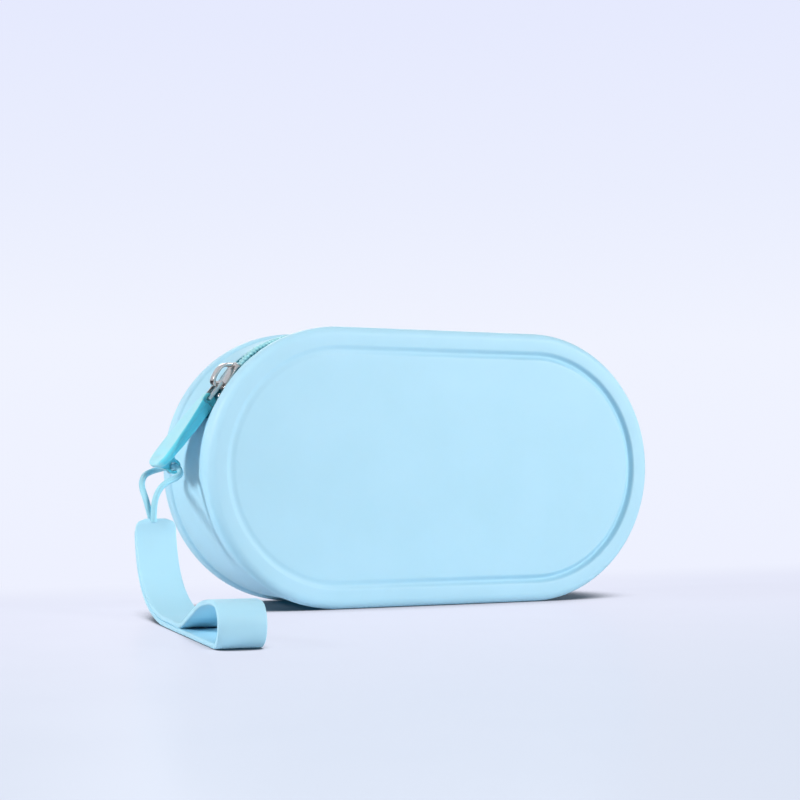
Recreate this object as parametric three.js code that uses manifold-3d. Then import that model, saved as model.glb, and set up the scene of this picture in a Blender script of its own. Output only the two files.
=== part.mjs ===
// Silicone cosmetic pouch: two moulded half shells joined by a coil zip above and a gusset below, with a
// metal slider, a silicone pull tab and a wrist strap on a cord. Millimetres, +Z up, front towards -Y.
import * as THREE from 'three';
import { mergeVertices } from 'three/addons/utils/BufferGeometryUtils.js';
import Module from 'manifold-3d';

// Pouch body: an obround standing on its long side
const LENGTH = 162;
const HEIGHT = 90;
const DEPTH = 45;
const RIM_DEPTH = 7;
const RIM_ROUND = 3;
const RIM_BACK_ROUND = 2;
const RECESS = 1;
const WALL = 1.5;
const PANEL = 2.5;
const INNER_ROUND = 1.5;
const GROOVE_FROM_EDGE = 8.4;
const GROOVE_HALF_WIDTH = 3;
const GROOVE_DEPTH = 0.9;
const PANEL_SET_BACK = 0.2;

// The soft side wall is drawn in along the zip and most where the zip ends, and the zip dives in deeper
// there; angles are measured from the top of an end arc
const WAIST = 1.2;
const PINCH = 3.4;
const ZIP_DIVE = 5.8;
const PINCH_RISE = [25, 60];
const PINCH_FALL = [65, 145];
const ZIP_FLAT = 4.4;

// Zip in the middle of the side wall, over the top and part of both ends
const ZIP_GAP = 11;
const ZIP_END_ANGLE = 63;
const TAPE_EDGE = 1.2;
const TAPE_REACH = 5.1;
const TAPE_UNDER_WALL = 9;
const TAPE_WIDENS = [44, 52];
const TAPE_THICKNESS = 0.5;
const TAPE_BELOW_WALL = 0.5;
const COIL_WIDTH = 2.4;
const COIL_HEIGHT = 1.8;
const COIL_PITCH = 2.4;
const TOOTH = 0.5;
const STITCH_WIDTH = 0.5;
const STOP_LENGTH = 1.8;
const STOP_HEIGHT = 0.9;

// Slider at the closed end of the zip, in the part of the left end that is drawn in
const SLIDER_ANGLE = 46;
const SLIDER_TILT = 58;
const SLIDER_LENGTH = 10.5;
const SLIDER_WIDTH = 9.6;
const SLIDER_NARROW = 6.6;
const LOWER_PLATE_SHARE = 0.8;
const RAIL = 0.6;
const RAIL_DEPTH = 1;
const PLATE = 0.8;
const PLATE_CORNER = 1.2;
const PLATE_ABOVE_COIL = 0.4;
const POST_HALF_WIDTH = 0.8;
const POST_LENGTH = 2.4;
const POST_FROM_END = 1.4;
const CROWN_WIDTH = 3.2;
const CROWN_HEIGHT = 3.7;
const CROWN_BAR = 1.1;

// Pull: ring through the crown, tab hanging from it down the left end
const PIVOT_BACK = 3.3;
const PIVOT_ABOVE_COIL = 2.05;
const TAB_SLOPE = 51.2;
const LINK_BAR = 1;
const LINK_LENGTH = 7.6;
const LINK_WIDTH = 6.6;
const TAB_TOP = 4.8;
const TAB_END = 34.2;
const TAB_THICKNESS = 3.4;
const TAB_END_SHARE = 0.62;
const TAB_BEVEL = 0.5;
const TAB_HALF_WIDTHS = [
  [TAB_TOP, 1.8],
  [7.7, 1.8],
  [8.4, 2.9],
  [12.6, 4.3],
  [17, 5.6],
  [21, 6.3],
  [25, 7],
  [28, 7.2],
];
const TAB_CORNER = 4.2;
const EYELET_AT = 30.6;
const EYELET_BEHIND = 4.75;
const EYELET_RADIUS = 1.35;
const EYE_RADIUS = 2.4;
const EYE_WIDTH = 2.8;
const EYE_ROOT = 6.4;

// Lanyard: cord through the tab's eyelet, strap lying on the surface in front of the left end
const CORD_DIAMETER = 1.9;
const CORD_STEPS = 60;
const CORD_SIDES = 8;
const STRAP_WIDTH = 12.5;
const STRAP_LAYER = 1.5;
const STRAP_HEAD = new THREE.Vector3(-93.7, -10, 27.8);
const STRAP_HEADING = -97.3;

// Gap between pieces that touch, and the shift that centres the pouch with its tab on the origin
const GAP = 0.3;
const BOX_SHIFT = 5;

const RADIUS = HEIGHT / 2;
const HALF_STRAIGHT = LENGTH / 2 - RADIUS;
const WALL_EDGE = DEPTH / 2 - RIM_DEPTH;
const TAPE_TOP = -RECESS - TAPE_BELOW_WALL;
const TAPE_FOOT = TAPE_TOP - TAPE_THICKNESS;
const COIL_FOOT = TAPE_TOP + GAP;
const COIL_TOP = COIL_FOOT + COIL_HEIGHT;
const TRACK_RADIUS = RADIUS + COIL_TOP;
const TRACK_LENGTH = 4 * HALF_STRAIGHT + 2 * Math.PI * TRACK_RADIUS;
const radians = THREE.MathUtils.degToRad;
const trackAt = (angle) => HALF_STRAIGHT + TRACK_RADIUS * radians(angle);
const ZIP_END = trackAt(ZIP_END_ANGLE);

const wasm = await Module();
wasm.setup();

// Geometry helpers

function closedMesh(points, faces) {
  let volume = 0;
  for (const [i, j, k] of faces) {
    volume += points[i].dot(points[j].clone().cross(points[k]));
  }
  const index = faces.flatMap(([i, j, k]) => (volume > 0 ? [i, j, k] : [i, k, j]));
  const geometry = new THREE.BufferGeometry().setFromPoints(points);
  geometry.setIndex(index);
  geometry.computeVertexNormals();
  return geometry;
}

// Joins rings of equally many points into one closed body, with a flat cap on the first and the last ring
function loft(rings) {
  const count = rings[0].length;
  const faces = [];
  for (let r = 0; r + 1 < rings.length; r++) {
    for (let i = 0; i < count; i++) {
      const a = r * count + i;
      const b = r * count + ((i + 1) % count);
      faces.push([a, b, b + count], [a, b + count, a + count]);
    }
  }
  const last = (rings.length - 1) * count;
  for (let i = 1; i + 1 < count; i++) {
    faces.push([0, i + 1, i], [last, last + i, last + i + 1]);
  }
  return closedMesh(rings.flat(), faces);
}

const between = (value, [from, to]) => THREE.MathUtils.smoothstep(value, from, to);

// How far the side wall is drawn in at an angle from the top: fully in the middle, fading towards the rims
function wallPinch(degrees, y) {
  const depth = THREE.MathUtils.lerp(WAIST, PINCH, between(degrees, PINCH_RISE));
  return depth * (1 - between(degrees, PINCH_FALL)) * Math.max(0, 1 - Math.abs(y) / WALL_EDGE);
}

// The same for the zip, which stays level across its coil
function zipPinch(degrees, y) {
  const depth = THREE.MathUtils.lerp(WAIST, ZIP_DIVE, between(degrees, PINCH_RISE));
  return depth * THREE.MathUtils.clamp((WALL_EDGE - Math.abs(y)) / (WALL_EDGE - ZIP_FLAT), 0, 1);
}

// One obround ring, offset from the outline and at a depth
function obroundRing(offset, y, steps = 20) {
  const ring = [];
  for (const side of [1, -1]) {
    for (let i = 0; i <= steps; i++) {
      const fromTop = (180 * (side > 0 ? i : steps - i)) / steps;
      const radius = RADIUS + offset - wallPinch(fromTop, y);
      const x = side * (HALF_STRAIGHT + radius * Math.sin(radians(fromTop)));
      ring.push(new THREE.Vector3(x, y, RADIUS + radius * Math.cos(radians(fromTop))));
    }
  }
  return ring;
}

// A point on the way round the pouch: s runs from the top middle to the right and on under the pouch
function onTrack(s, offset, y, pinch) {
  const side = Math.sign(s) || 1;
  const run = Math.abs(s);
  const arc = Math.PI * TRACK_RADIUS;
  if (run > 3 * HALF_STRAIGHT + arc) {
    return onTrack(s - side * TRACK_LENGTH, offset, y, pinch);
  }
  const angle = THREE.MathUtils.clamp((run - HALF_STRAIGHT) / TRACK_RADIUS, 0, Math.PI);
  const straight = run <= HALF_STRAIGHT + arc ? Math.min(run, HALF_STRAIGHT) : 2 * HALF_STRAIGHT + arc - run;
  const radius = RADIUS + offset - pinch(THREE.MathUtils.radToDeg(angle), y);
  const x = side * (straight + radius * Math.sin(angle));
  return new THREE.Vector3(x, y, RADIUS + radius * Math.cos(angle));
}

// Places along the track with a step every few degrees on the arcs and none needed on the straights
function trackStops(from, to, arcStep = 7) {
  const arc = Math.PI * TRACK_RADIUS;
  const corners = [-HALF_STRAIGHT, HALF_STRAIGHT, HALF_STRAIGHT + arc, 3 * HALF_STRAIGHT + arc];
  const stops = [from, to, ...corners];
  const step = TRACK_RADIUS * radians(arcStep);
  for (let i = 0; i * step < arc; i++) {
    stops.push(HALF_STRAIGHT + i * step, -HALF_STRAIGHT - i * step, 3 * HALF_STRAIGHT + arc + i * step);
  }
  const inside = stops.filter((s) => s >= from && s <= to).sort((a, b) => a - b);
  return inside.filter((s, i) => i === 0 || s - inside[i - 1] > 0.01);
}

// A strip along the track between two offsets; across gives its places in y at each stop, edge to edge
function trackStrip(stops, across, foot, top, pinch = zipPinch) {
  const rings = stops.map((s, i) => {
    const places = across(s, i);
    const below = places.map((y) => onTrack(s, foot, y, pinch));
    const above = places.map((y) => onTrack(s, top, y, pinch));
    return [...below, ...above.reverse()];
  });
  return loft(rings);
}

function solid(geometry) {
  const bare = geometry.clone();
  bare.deleteAttribute('normal');
  bare.deleteAttribute('uv');
  const merged = mergeVertices(bare, 1e-4);
  const vertProperties = new Float32Array(merged.attributes.position.array);
  const triVerts = new Uint32Array(merged.index.array);
  return new wasm.Manifold(new wasm.Mesh({ numProp: 3, vertProperties, triVerts }));
}

function fromSolid(manifold) {
  const mesh = manifold.getMesh();
  const geometry = new THREE.BufferGeometry();
  geometry.setAttribute('position', new THREE.BufferAttribute(new Float32Array(mesh.vertProperties), 3));
  geometry.setIndex(new THREE.BufferAttribute(new Uint32Array(mesh.triVerts), 1));
  geometry.computeVertexNormals();
  return geometry;
}

function flat(shape, depth, curveSegments = 4) {
  return new THREE.ExtrudeGeometry(shape, { depth, bevelEnabled: false, curveSegments });
}

// A flat outline in x and z, given its width along y
function sideways(shape, width, curveSegments = 8) {
  const geometry = flat(shape, width, curveSegments);
  geometry.rotateX(Math.PI / 2);
  geometry.translate(0, width / 2, 0);
  return geometry;
}

// Materials

function finish(color, roughness, metalness = 0) {
  return new THREE.MeshStandardMaterial({ color, roughness, metalness });
}

const silicone = () => finish(0xb2e2fa, 0.55);
const tapeCloth = () => finish(0x9fd8ee, 0.9);
const nylon = () => finish(0x8fd3e6, 0.45);
const thread = () => finish(0x86c6de, 0.8);
const nickel = () => finish(0xb9b4b6, 0.28, 1);
const tabSilicone = () => finish(0x9be3f0, 0.5);
const cordBraid = () => finish(0x9fd9ee, 0.8);

function named(name, geometry, material) {
  const mesh = new THREE.Mesh(geometry, material);
  mesh.name = name;
  return mesh;
}

// Half shell, with its profile as pairs of offset from the outline and depth, running from the panel over
// the groove, the rounded rim and the recessed side wall to the inside; side is -1 in front, 1 behind
function halfShell(side) {
  const face = DEPTH / 2;
  const panel = face - PANEL_SET_BACK;
  const groove = -GROOVE_FROM_EDGE;
  const profile = [
    [groove - GROOVE_HALF_WIDTH, panel],
    [groove - 0.72 * GROOVE_HALF_WIDTH, panel - 0.16 * GROOVE_DEPTH],
    [groove - 0.36 * GROOVE_HALF_WIDTH, panel - 0.75 * GROOVE_DEPTH],
    [groove, panel - GROOVE_DEPTH],
    [groove + 0.36 * GROOVE_HALF_WIDTH, panel - 0.75 * GROOVE_DEPTH],
    [groove + 0.8 * GROOVE_HALF_WIDTH, panel - 0.05 * GROOVE_DEPTH],
    [-1.6 * RIM_ROUND, face],
    [-RIM_ROUND, face],
    [-0.53 * RIM_ROUND, face - 0.17 * RIM_ROUND],
    [-0.17 * RIM_ROUND, face - 0.5 * RIM_ROUND],
    [0, face - 0.97 * RIM_ROUND],
    [0, WALL_EDGE + RIM_BACK_ROUND],
    [-0.15 * RIM_BACK_ROUND, WALL_EDGE + 0.45 * RIM_BACK_ROUND],
    [-RECESS, WALL_EDGE],
    [-RECESS, ZIP_GAP / 2],
    [-RECESS - WALL, ZIP_GAP / 2],
    [-RECESS - WALL, WALL_EDGE],
    [-RECESS - WALL, face - PANEL - INNER_ROUND],
    [-RECESS - WALL - INNER_ROUND, face - PANEL],
  ];
  return loft(profile.map(([offset, y]) => obroundRing(offset, side * y)));
}

// Lower wall between the halves, from one zip end under the pouch to the other
function gusset() {
  const edge = ZIP_GAP / 2 - GAP;
  const start = ZIP_END + 1;
  const stops = trackStops(start, TRACK_LENGTH - start);
  return trackStrip(stops, () => [-edge, 0, edge], -RECESS - WALL, -RECESS, wallPinch);
}

// The tape fills the gap beside the coil, and runs on under the wall where the zip dives in
function tape(side) {
  const end = ZIP_END + 4;
  const stops = trackStops(-end, end, 4);
  const across = (s) => {
    const degrees = THREE.MathUtils.radToDeg((Math.abs(s) - HALF_STRAIGHT) / TRACK_RADIUS);
    const reach = THREE.MathUtils.lerp(TAPE_REACH, TAPE_UNDER_WALL, between(degrees, TAPE_WIDENS));
    return [side * TAPE_EDGE, side * ZIP_FLAT, side * reach];
  };
  return trackStrip(stops, across, TAPE_FOOT, TAPE_TOP);
}

// Inside the slider the two coils part and pass on either side of its post
const SLIDER_AT = -trackAt(SLIDER_ANGLE);
const PARTING_START = SLIDER_AT + 1;
const PARTING_RUN = 3;
const PARTING = POST_HALF_WIDTH + TOOTH + 0.1;

function parting(s) {
  return PARTING * THREE.MathUtils.clamp((PARTING_START - s) / PARTING_RUN, 0, 1);
}

const COIL_START = SLIDER_AT - SLIDER_LENGTH / 2 + 0.2;
const COIL_END = ZIP_END - 2 * GAP;

// One row of the coil; the rows meet along a zigzag with a small gap
function coil(side) {
  const half = COIL_PITCH / 2;
  const count = Math.floor((COIL_END - COIL_START) / half);
  const stops = Array.from({ length: count + 1 }, (_, i) => COIL_START + i * half);
  const zigzag = (i) => (i % 2 ? TOOTH : -TOOTH);
  const inner = (s, i) => zigzag(i) + side * (GAP / 2 + parting(s));
  const outer = (s) => side * (COIL_WIDTH + parting(s));
  return trackStrip(stops, (s, i) => [inner(s, i), outer(s)], COIL_FOOT, COIL_TOP);
}

// Seam beside the coil that holds it to the tape
function coilStitching(side) {
  const near = COIL_WIDTH + GAP;
  const across = [side * near, side * (near + STITCH_WIDTH)];
  const stops = trackStops(COIL_START + SLIDER_LENGTH, COIL_END);
  return trackStrip(stops, () => across, COIL_FOOT, COIL_FOOT + STITCH_WIDTH);
}

function topStop(side) {
  const from = COIL_START - STOP_LENGTH - 2 * GAP;
  const across = [side * (PARTING + GAP), side * (PARTING + COIL_WIDTH)];
  return trackStrip([from, from + STOP_LENGTH / 2, from + STOP_LENGTH], () => across, COIL_FOOT, COIL_TOP);
}

function bottomStop() {
  const from = COIL_END - STOP_LENGTH / 2;
  const half = COIL_WIDTH - GAP;
  const stops = [from, from + STOP_LENGTH / 2, from + STOP_LENGTH];
  return trackStrip(stops, () => [-half, half], COIL_TOP + GAP, COIL_TOP + GAP + STOP_HEIGHT);
}

// The slider swings about a centre that carries it from the drawn-in coil to the top of the pouch
const SLIDER_PLACE = onTrack(-trackAt(SLIDER_ANGLE), COIL_TOP, 0, zipPinch);
const ZIP_TOP = HEIGHT + COIL_TOP - WAIST;
const SWING_RADIUS = (ZIP_TOP - SLIDER_PLACE.z) / (1 - Math.cos(radians(SLIDER_TILT)));
const SWING_CENTRE = new THREE.Vector3(
  SLIDER_PLACE.x + SWING_RADIUS * Math.sin(radians(SLIDER_TILT)),
  0,
  ZIP_TOP - SWING_RADIUS,
);

// Slider parts: x along the track towards the closed chain, z outwards from the middle of the swing
function plateOutline(share = 1) {
  const back = -SLIDER_LENGTH / 2;
  const front = SLIDER_LENGTH / 2;
  const wide = (share * SLIDER_WIDTH) / 2;
  const narrow = (share * SLIDER_NARROW) / 2;
  const corner = PLATE_CORNER;
  const shape = new THREE.Shape();
  shape.moveTo(back + corner, -wide);
  shape.lineTo(0, -wide);
  shape.lineTo(front - corner, -narrow);
  shape.quadraticCurveTo(front, -narrow + corner / 3, front, 0);
  shape.quadraticCurveTo(front, narrow - corner / 3, front - corner, narrow);
  shape.lineTo(0, wide);
  shape.lineTo(back + corner, wide);
  shape.quadraticCurveTo(back, wide, back, wide - corner);
  shape.quadraticCurveTo(back + corner / 2, 0, back, -wide + corner);
  shape.quadraticCurveTo(back, -wide, back + corner, -wide);
  return shape;
}

const UPPER_PLATE = SWING_RADIUS + PLATE_ABOVE_COIL;
const LOWER_PLATE = SWING_RADIUS + TAPE_FOOT - COIL_TOP - 3 * GAP - PLATE;

function sliderBody() {
  const layer = (share, z, depth) => {
    const geometry = flat(plateOutline(share), depth);
    geometry.translate(0, 0, z);
    return solid(geometry);
  };
  const upper = layer(1, UPPER_PLATE - RAIL_DEPTH, PLATE + RAIL_DEPTH);
  const lower = layer(LOWER_PLATE_SHARE, LOWER_PLATE, PLATE);

  // Channel for the coil between the two side rails, tapering like the plate
  const wide = SLIDER_WIDTH / 2 - RAIL;
  const narrow = SLIDER_NARROW / 2 - RAIL;
  const end = SLIDER_LENGTH / 2 + 1;
  const channel = new THREE.Shape();
  channel.setFromPoints([
    new THREE.Vector2(-end, -wide),
    new THREE.Vector2(0, -wide),
    new THREE.Vector2(end - 2, -narrow),
    new THREE.Vector2(end, -narrow),
    new THREE.Vector2(end, narrow),
    new THREE.Vector2(end - 2, narrow),
    new THREE.Vector2(0, wide),
    new THREE.Vector2(-end, wide),
  ]);
  const space = flat(channel, 2 * RAIL_DEPTH);
  space.translate(0, 0, UPPER_PLATE - 2 * RAIL_DEPTH);

  const tall = UPPER_PLATE - LOWER_PLATE;
  const post = new THREE.BoxGeometry(POST_LENGTH, 2 * POST_HALF_WIDTH, tall);
  const postX = -SLIDER_LENGTH / 2 + POST_FROM_END + POST_LENGTH / 2;
  post.translate(postX, 0, LOWER_PLATE + PLATE / 2 + tall / 2);
  return fromSolid(upper.subtract(solid(space)).add(lower).add(solid(post)));
}

// Arched bridge on the slider's upper plate
function sliderCrown() {
  const foot = UPPER_PLATE + PLATE + GAP;
  const top = foot + CROWN_HEIGHT;
  const back = -SLIDER_LENGTH / 2 - 0.2;
  const front = SLIDER_LENGTH / 2 - 0.6;
  const shape = new THREE.Shape();
  shape.moveTo(back, foot);
  shape.bezierCurveTo(back - 0.2, top - 0.4, back + 2, top, -0.6, top);
  shape.bezierCurveTo(2.4, top, front - 0.8, top - 1.6, front, foot);
  shape.lineTo(front - 1.6, foot);
  shape.bezierCurveTo(front - 2.2, top - 2, 2, top - CROWN_BAR, -0.6, top - CROWN_BAR);
  shape.bezierCurveTo(back + 2.4, top - CROWN_BAR, back + 0.8, top - 1.2, back + CROWN_BAR, foot);
  shape.closePath();
  return sideways(shape, CROWN_WIDTH, 7);
}

// Pull parts: x along the tab away from the pivot, y across it, z towards the pouch
function roundedBox(shape, left, right, half, corner) {
  shape.moveTo(left + corner, -half);
  shape.lineTo(right - corner, -half);
  shape.quadraticCurveTo(right, -half, right, -half + corner);
  shape.lineTo(right, half - corner);
  shape.quadraticCurveTo(right, half, right - corner, half);
  shape.lineTo(left + corner, half);
  shape.quadraticCurveTo(left, half, left, half - corner);
  shape.lineTo(left, -half + corner);
  shape.quadraticCurveTo(left, -half, left + corner, -half);
  return shape;
}

function pullLink() {
  const half = LINK_WIDTH / 2;
  const left = -LINK_BAR / 2;
  const right = LINK_LENGTH - LINK_BAR / 2;
  const shape = roundedBox(new THREE.Shape(), left, right, half, 0.8);
  const window = new THREE.Path();
  shape.holes.push(roundedBox(window, left + LINK_BAR, right - LINK_BAR, half - LINK_BAR, 0.3));
  const geometry = flat(shape, LINK_BAR);
  geometry.translate(0, 0, -LINK_BAR / 2);
  return geometry;
}

function crossRod(x, z, radius, length) {
  const geometry = new THREE.CylinderGeometry(radius, radius, length, 14);
  geometry.translate(x, 0, z);
  return solid(geometry);
}

// Eye moulded on the back of the paddle, with its hole across the tab
function tabEye() {
  const root = new THREE.BoxGeometry(EYE_ROOT, EYE_WIDTH, 1);
  root.translate(EYELET_AT, 0, 0.4);
  return wasm.Manifold.hull([solid(root), crossRod(EYELET_AT, EYELET_BEHIND, EYE_RADIUS, EYE_WIDTH)]);
}

function pullTab() {
  const top = TAB_TOP + TAB_BEVEL;
  const edge = TAB_HALF_WIDTHS.map(([x, half]) => new THREE.Vector2(Math.max(x, top), half - TAB_BEVEL));
  const paddle = edge.at(-1).y;
  const end = TAB_END - TAB_BEVEL;
  const shape = new THREE.Shape();
  shape.setFromPoints(edge);
  shape.lineTo(end - TAB_CORNER, paddle);
  shape.quadraticCurveTo(end, paddle, end, paddle - TAB_CORNER);
  shape.lineTo(end, TAB_CORNER - paddle);
  shape.quadraticCurveTo(end, -paddle, end - TAB_CORNER, -paddle);
  for (const point of edge.reverse()) {
    shape.lineTo(point.x, -point.y);
  }
  shape.closePath();
  const geometry = new THREE.ExtrudeGeometry(shape, {
    depth: TAB_THICKNESS - 2 * TAB_BEVEL,
    bevelEnabled: true,
    bevelThickness: TAB_BEVEL,
    bevelSize: TAB_BEVEL,
    bevelSegments: 2,
    curveSegments: 5,
  });
  geometry.translate(0, 0, -TAB_THICKNESS / 2 + TAB_BEVEL);
  // Thinner towards the paddle's end
  const points = geometry.getAttribute('position');
  for (let i = 0; i < points.count; i++) {
    const share = (points.getX(i) - TAB_TOP) / (TAB_END - TAB_TOP);
    points.setZ(i, points.getZ(i) * THREE.MathUtils.lerp(1, TAB_END_SHARE, share));
  }
  const linkHole = crossRod(LINK_LENGTH - LINK_BAR, 0, LINK_BAR * 0.71 + GAP, 4 * SLIDER_WIDTH);
  const eyelet = crossRod(EYELET_AT, EYELET_BEHIND, EYELET_RADIUS, 4 * EYE_WIDTH);
  return fromSolid(solid(geometry).add(tabEye()).subtract(linkHole).subtract(eyelet));
}

const PIVOT = new THREE.Vector3(-PIVOT_BACK, 0, SWING_RADIUS + PIVOT_ABOVE_COIL);
PIVOT.applyAxisAngle(new THREE.Vector3(0, 1, 0), -radians(SLIDER_TILT)).add(SWING_CENTRE);
const EYELET = new THREE.Vector3(EYELET_AT, 0, EYELET_BEHIND);
EYELET.applyAxisAngle(new THREE.Vector3(0, 1, 0), Math.PI - radians(TAB_SLOPE)).add(PIVOT);

// Cord: up from the strap's head, round behind the tab's end, through the eyelet and down in front
const CORD_ROUTE = [
  [-94.5, -8.9, 28.2],
  [-95, -8.9, 30.4],
  [-95.7, -8.8, 33],
  [-96.2, -7.9, 35.6],
  [-96.3, -5.6, 38],
  [-95.5, -2.2, 40],
  [-93.9, 1.5, 41.5],
  [-92.1, 4.8, 42.6],
  [-90.6, 6.3, 43.2],
  [-88.6, 6.9, 43.9],
  [-86.6, 6.3, 44.5],
  [-85.2, 4.8, 45],
  [EYELET.x, 2.6, EYELET.z],
  [EYELET.x, 0, EYELET.z],
  [EYELET.x + 0.1, -3.2, EYELET.z - 0.1],
  [-84.5, -6, 44.2],
  [-85.1, -8.4, 42.9],
  [-87, -9.9, 41.7],
  [-89.5, -10.6, 40.7],
  [-91.7, -11, 39.3],
  [-93.3, -11.1, 37.1],
  [-94.2, -11.1, 34.4],
  [-94.5, -11.1, 31.4],
  [-94.6, -11.1, 28.2],
];

function lanyardCord() {
  const path = new THREE.CatmullRomCurve3(CORD_ROUTE.map((point) => new THREE.Vector3(...point)));
  const section = new THREE.Shape();
  for (let i = 0; i < CORD_SIDES; i++) {
    const angle = (2 * Math.PI * i) / CORD_SIDES;
    const x = (CORD_DIAMETER / 2) * Math.cos(angle);
    const y = (CORD_DIAMETER / 2) * Math.sin(angle);
    if (i === 0) section.moveTo(x, y);
    else section.lineTo(x, y);
  }
  section.closePath();
  return new THREE.ExtrudeGeometry(section, { steps: CORD_STEPS, extrudePath: path, bevelEnabled: false });
}

// Strap seen from the side: x along the surface away from the head, y upwards; both layers lie together
// from the head to the surface and part into an open fold at the far end
const STRAP_FALL = [
  [0, 0],
  [0.8, -5],
  [3.2, -10.5],
  [7.4, -15.5],
  [14, -20],
  [25, -24],
  [38, -26],
  [54, -26.3],
];
const STRAP_LIFT = [
  [66, -24.8],
  [78, -21.2],
  [91, -17.2],
  [102, -15.8],
];
const FOLD_END = 113;
const FOLD_HEIGHT = 12;
const FOLD_BEND = 7;
const FOLD_OPENS = 70;
const FALL_STEPS = 18;

function wristStrap() {
  const floor = -STRAP_HEAD.z;
  const top = floor + FOLD_HEIGHT;
  const middle = floor + FOLD_HEIGHT / 2;
  const fall = new THREE.SplineCurve(STRAP_FALL.map(([x, y]) => new THREE.Vector2(x, y)));
  const side = (sign) => fall.getPoints(FALL_STEPS).map((point, i) => {
    const along = fall.getTangent(i / FALL_STEPS).multiplyScalar(sign * STRAP_LAYER);
    return new THREE.Vector2(point.x - along.y, Math.max(point.y + along.x, floor));
  });
  const lift = STRAP_LIFT.map(([x, y]) => new THREE.Vector2(x, y));
  const liftEnd = lift.at(-1).x;

  // Outside: over the upper layer, round the fold and back under the lower layer
  const shape = new THREE.Shape();
  shape.setFromPoints(side(1));
  shape.splineThru(lift);
  shape.bezierCurveTo(FOLD_END - FOLD_BEND / 2, top, FOLD_END, top - 2, FOLD_END, middle);
  shape.bezierCurveTo(FOLD_END, floor + 2, FOLD_END - FOLD_BEND / 2, floor, FOLD_END - FOLD_BEND, floor);
  for (const point of side(-1).reverse()) {
    shape.lineTo(point.x, point.y);
  }
  shape.closePath();

  // Inside of the open fold, one layer in from the outside
  const lowest = floor + STRAP_LAYER;
  const highest = top - STRAP_LAYER;
  const bendEnd = FOLD_END - STRAP_LAYER;
  const bendStart = FOLD_END - FOLD_BEND;
  const under = lift.slice(1, -1).map((point) => new THREE.Vector2(point.x, point.y - STRAP_LAYER));
  const start = new THREE.Vector2(FOLD_OPENS, lowest);
  const inside = new THREE.Path();
  inside.moveTo(start.x, start.y);
  inside.lineTo(bendStart, lowest);
  inside.bezierCurveTo(bendStart + 2, lowest, bendEnd, lowest + 1.5, bendEnd, middle);
  inside.bezierCurveTo(bendEnd, highest - 1.5, bendStart + 2, highest, liftEnd, highest);
  inside.splineThru([...under.reverse(), start]);
  shape.holes.push(inside);
  return sideways(shape, STRAP_WIDTH, 6);
}

// Assembly

const pouch = new THREE.Group();
pouch.add(named('rear_shell', halfShell(1), silicone()));
pouch.add(named('front_shell', halfShell(-1), silicone()));
pouch.add(named('gusset', gusset(), silicone()));
for (const [place, side] of [['front', -1], ['rear', 1]]) {
  pouch.add(named(`zipper_tape_${place}`, tape(side), tapeCloth()));
  pouch.add(named(`zipper_coil_${place}`, coil(side), nylon()));
  pouch.add(named(`coil_stitching_${place}`, coilStitching(side), thread()));
  pouch.add(named(`top_stop_${place}`, topStop(side), nickel()));
}
pouch.add(named('bottom_stop', bottomStop(), nickel()));

const slider = new THREE.Group();
slider.position.copy(SWING_CENTRE);
slider.rotation.y = -radians(SLIDER_TILT);
slider.add(named('slider_body', sliderBody(), nickel()));
slider.add(named('slider_crown', sliderCrown(), nickel()));
pouch.add(slider);

const pull = new THREE.Group();
pull.position.copy(PIVOT);
pull.rotation.y = Math.PI - radians(TAB_SLOPE);
pull.add(named('pull_link', pullLink(), nickel()));
pull.add(named('pull_tab', pullTab(), tabSilicone()));
pouch.add(pull);

pouch.add(named('lanyard_cord', lanyardCord(), cordBraid()));
const strap = named('wrist_strap', wristStrap(), silicone());
strap.position.copy(STRAP_HEAD);
strap.rotation.z = radians(STRAP_HEADING);
pouch.add(strap);

pouch.position.x = BOX_SHIFT;
const assembly = new THREE.Group();
assembly.add(pouch);

export default assembly;
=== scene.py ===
"""Silicone cosmetic pouch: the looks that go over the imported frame, in metres."""

import math

import bmesh
import bpy
from mathutils import Matrix, Vector


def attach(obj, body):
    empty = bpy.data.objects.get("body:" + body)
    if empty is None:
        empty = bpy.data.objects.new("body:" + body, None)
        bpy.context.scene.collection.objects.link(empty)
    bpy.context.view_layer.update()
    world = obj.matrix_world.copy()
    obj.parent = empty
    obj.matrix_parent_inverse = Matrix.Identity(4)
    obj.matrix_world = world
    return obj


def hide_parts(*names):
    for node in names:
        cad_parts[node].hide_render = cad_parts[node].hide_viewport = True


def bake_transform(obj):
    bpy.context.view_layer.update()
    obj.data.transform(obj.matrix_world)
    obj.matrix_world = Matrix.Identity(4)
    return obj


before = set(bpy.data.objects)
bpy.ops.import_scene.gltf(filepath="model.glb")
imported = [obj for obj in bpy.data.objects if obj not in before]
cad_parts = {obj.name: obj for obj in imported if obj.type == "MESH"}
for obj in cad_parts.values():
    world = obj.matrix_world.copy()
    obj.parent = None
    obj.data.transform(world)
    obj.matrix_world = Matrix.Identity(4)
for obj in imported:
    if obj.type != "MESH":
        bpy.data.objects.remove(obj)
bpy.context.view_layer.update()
scene = bpy.context.scene

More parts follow.
